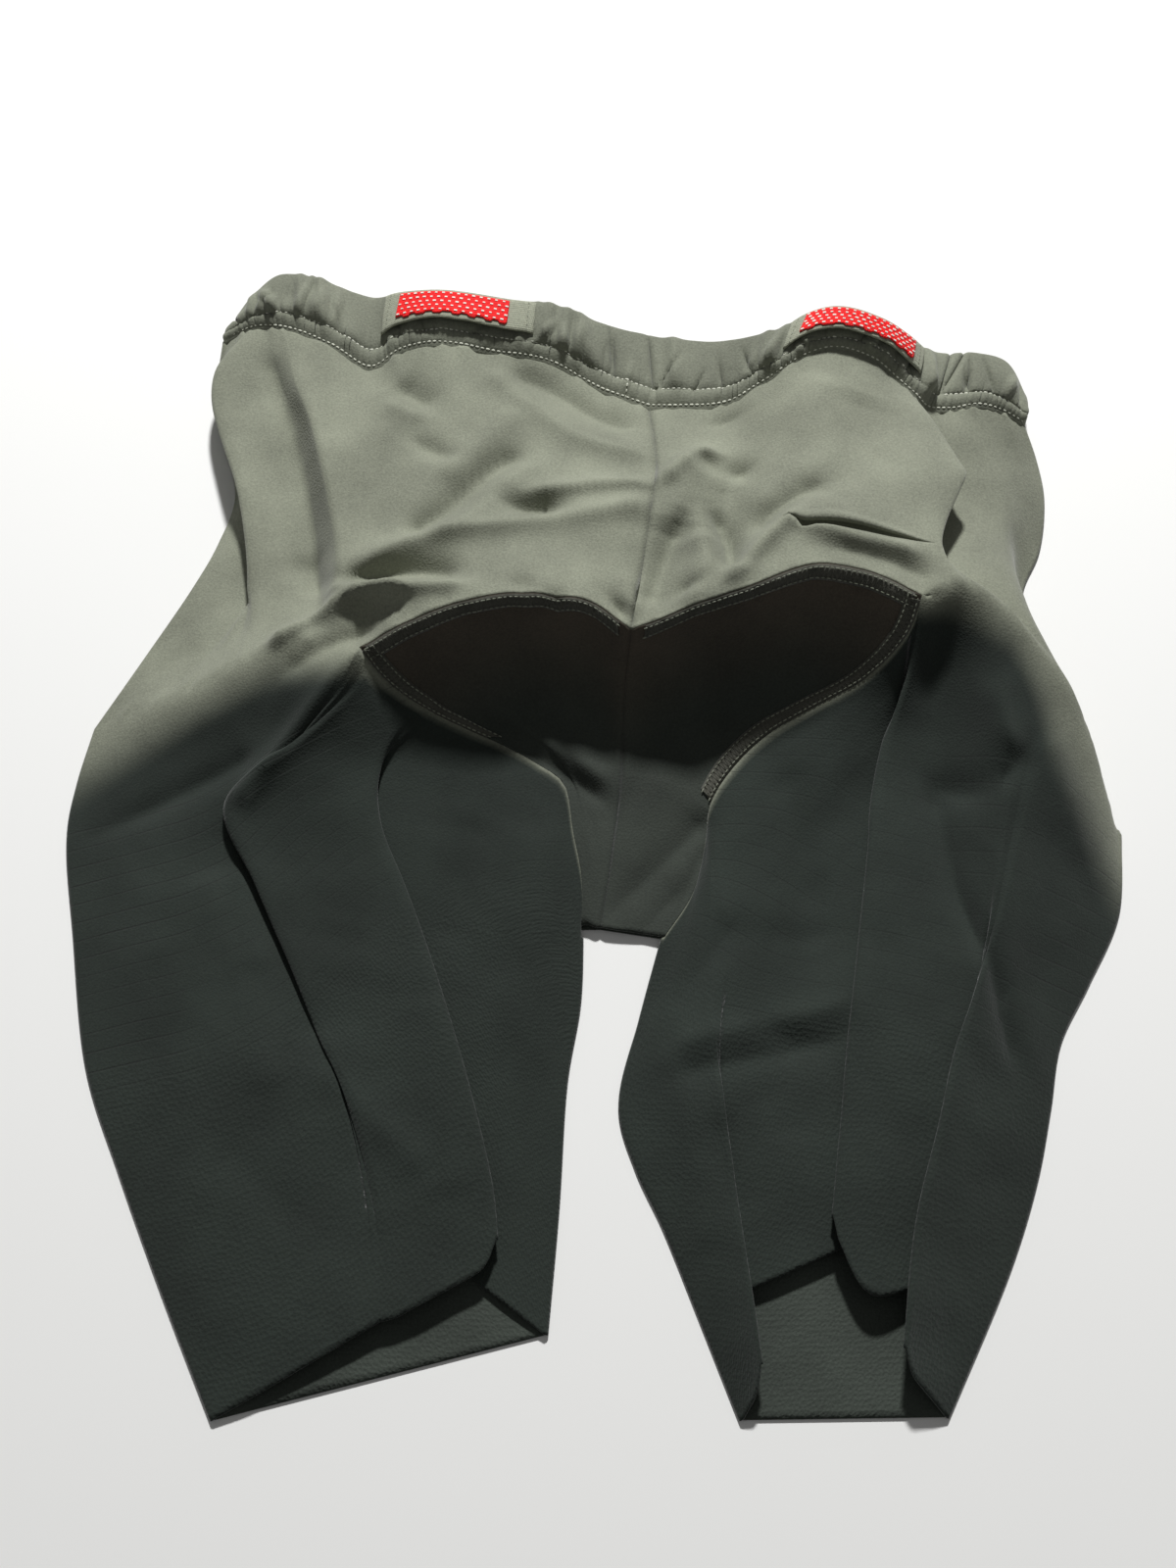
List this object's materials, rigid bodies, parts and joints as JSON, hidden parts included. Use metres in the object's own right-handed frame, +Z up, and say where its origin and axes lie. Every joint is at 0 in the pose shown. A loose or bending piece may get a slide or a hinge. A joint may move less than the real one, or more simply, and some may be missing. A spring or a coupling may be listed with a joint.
{
  "type": "triathlon shorts",
  "caption": "Close-fitting stretch shorts laid flat with the seat up: gathered waistband with belt loops and red patches, saddle panel, ribbed legs with raw-cut hems.",
  "frame": {"origin": "centre of the outline, on the surface that the shorts lie on", "axes": "+Z up, away from the surface, +Y from the hems to the waist, +X from the wearer's left to the right"},
  "size_m": [0.4195, 0.4782, 0.0648],
  "materials": {
    "stretch_knit": "matt stretch knit, grey-green to charcoal, fine ribs and dimples on the legs",
    "waist_casing": "matt stretch knit gathered over elastic",
    "loop_webbing": "flat woven webbing",
    "red_patch": "red woven patch with pale flecks"
  },
  "bodies": {
    "root": {"back_left": "stretch_knit", "back_right": "stretch_knit", "front_left": "stretch_knit", "front_right": "stretch_knit", "saddle_left": "stretch_knit", "saddle_right": "stretch_knit", "waistband": "waist_casing", "loop_left": "loop_webbing", "loop_right": "loop_webbing", "patch_left": "red_patch", "patch_right": "red_patch"}
  },
  "joints": []
}
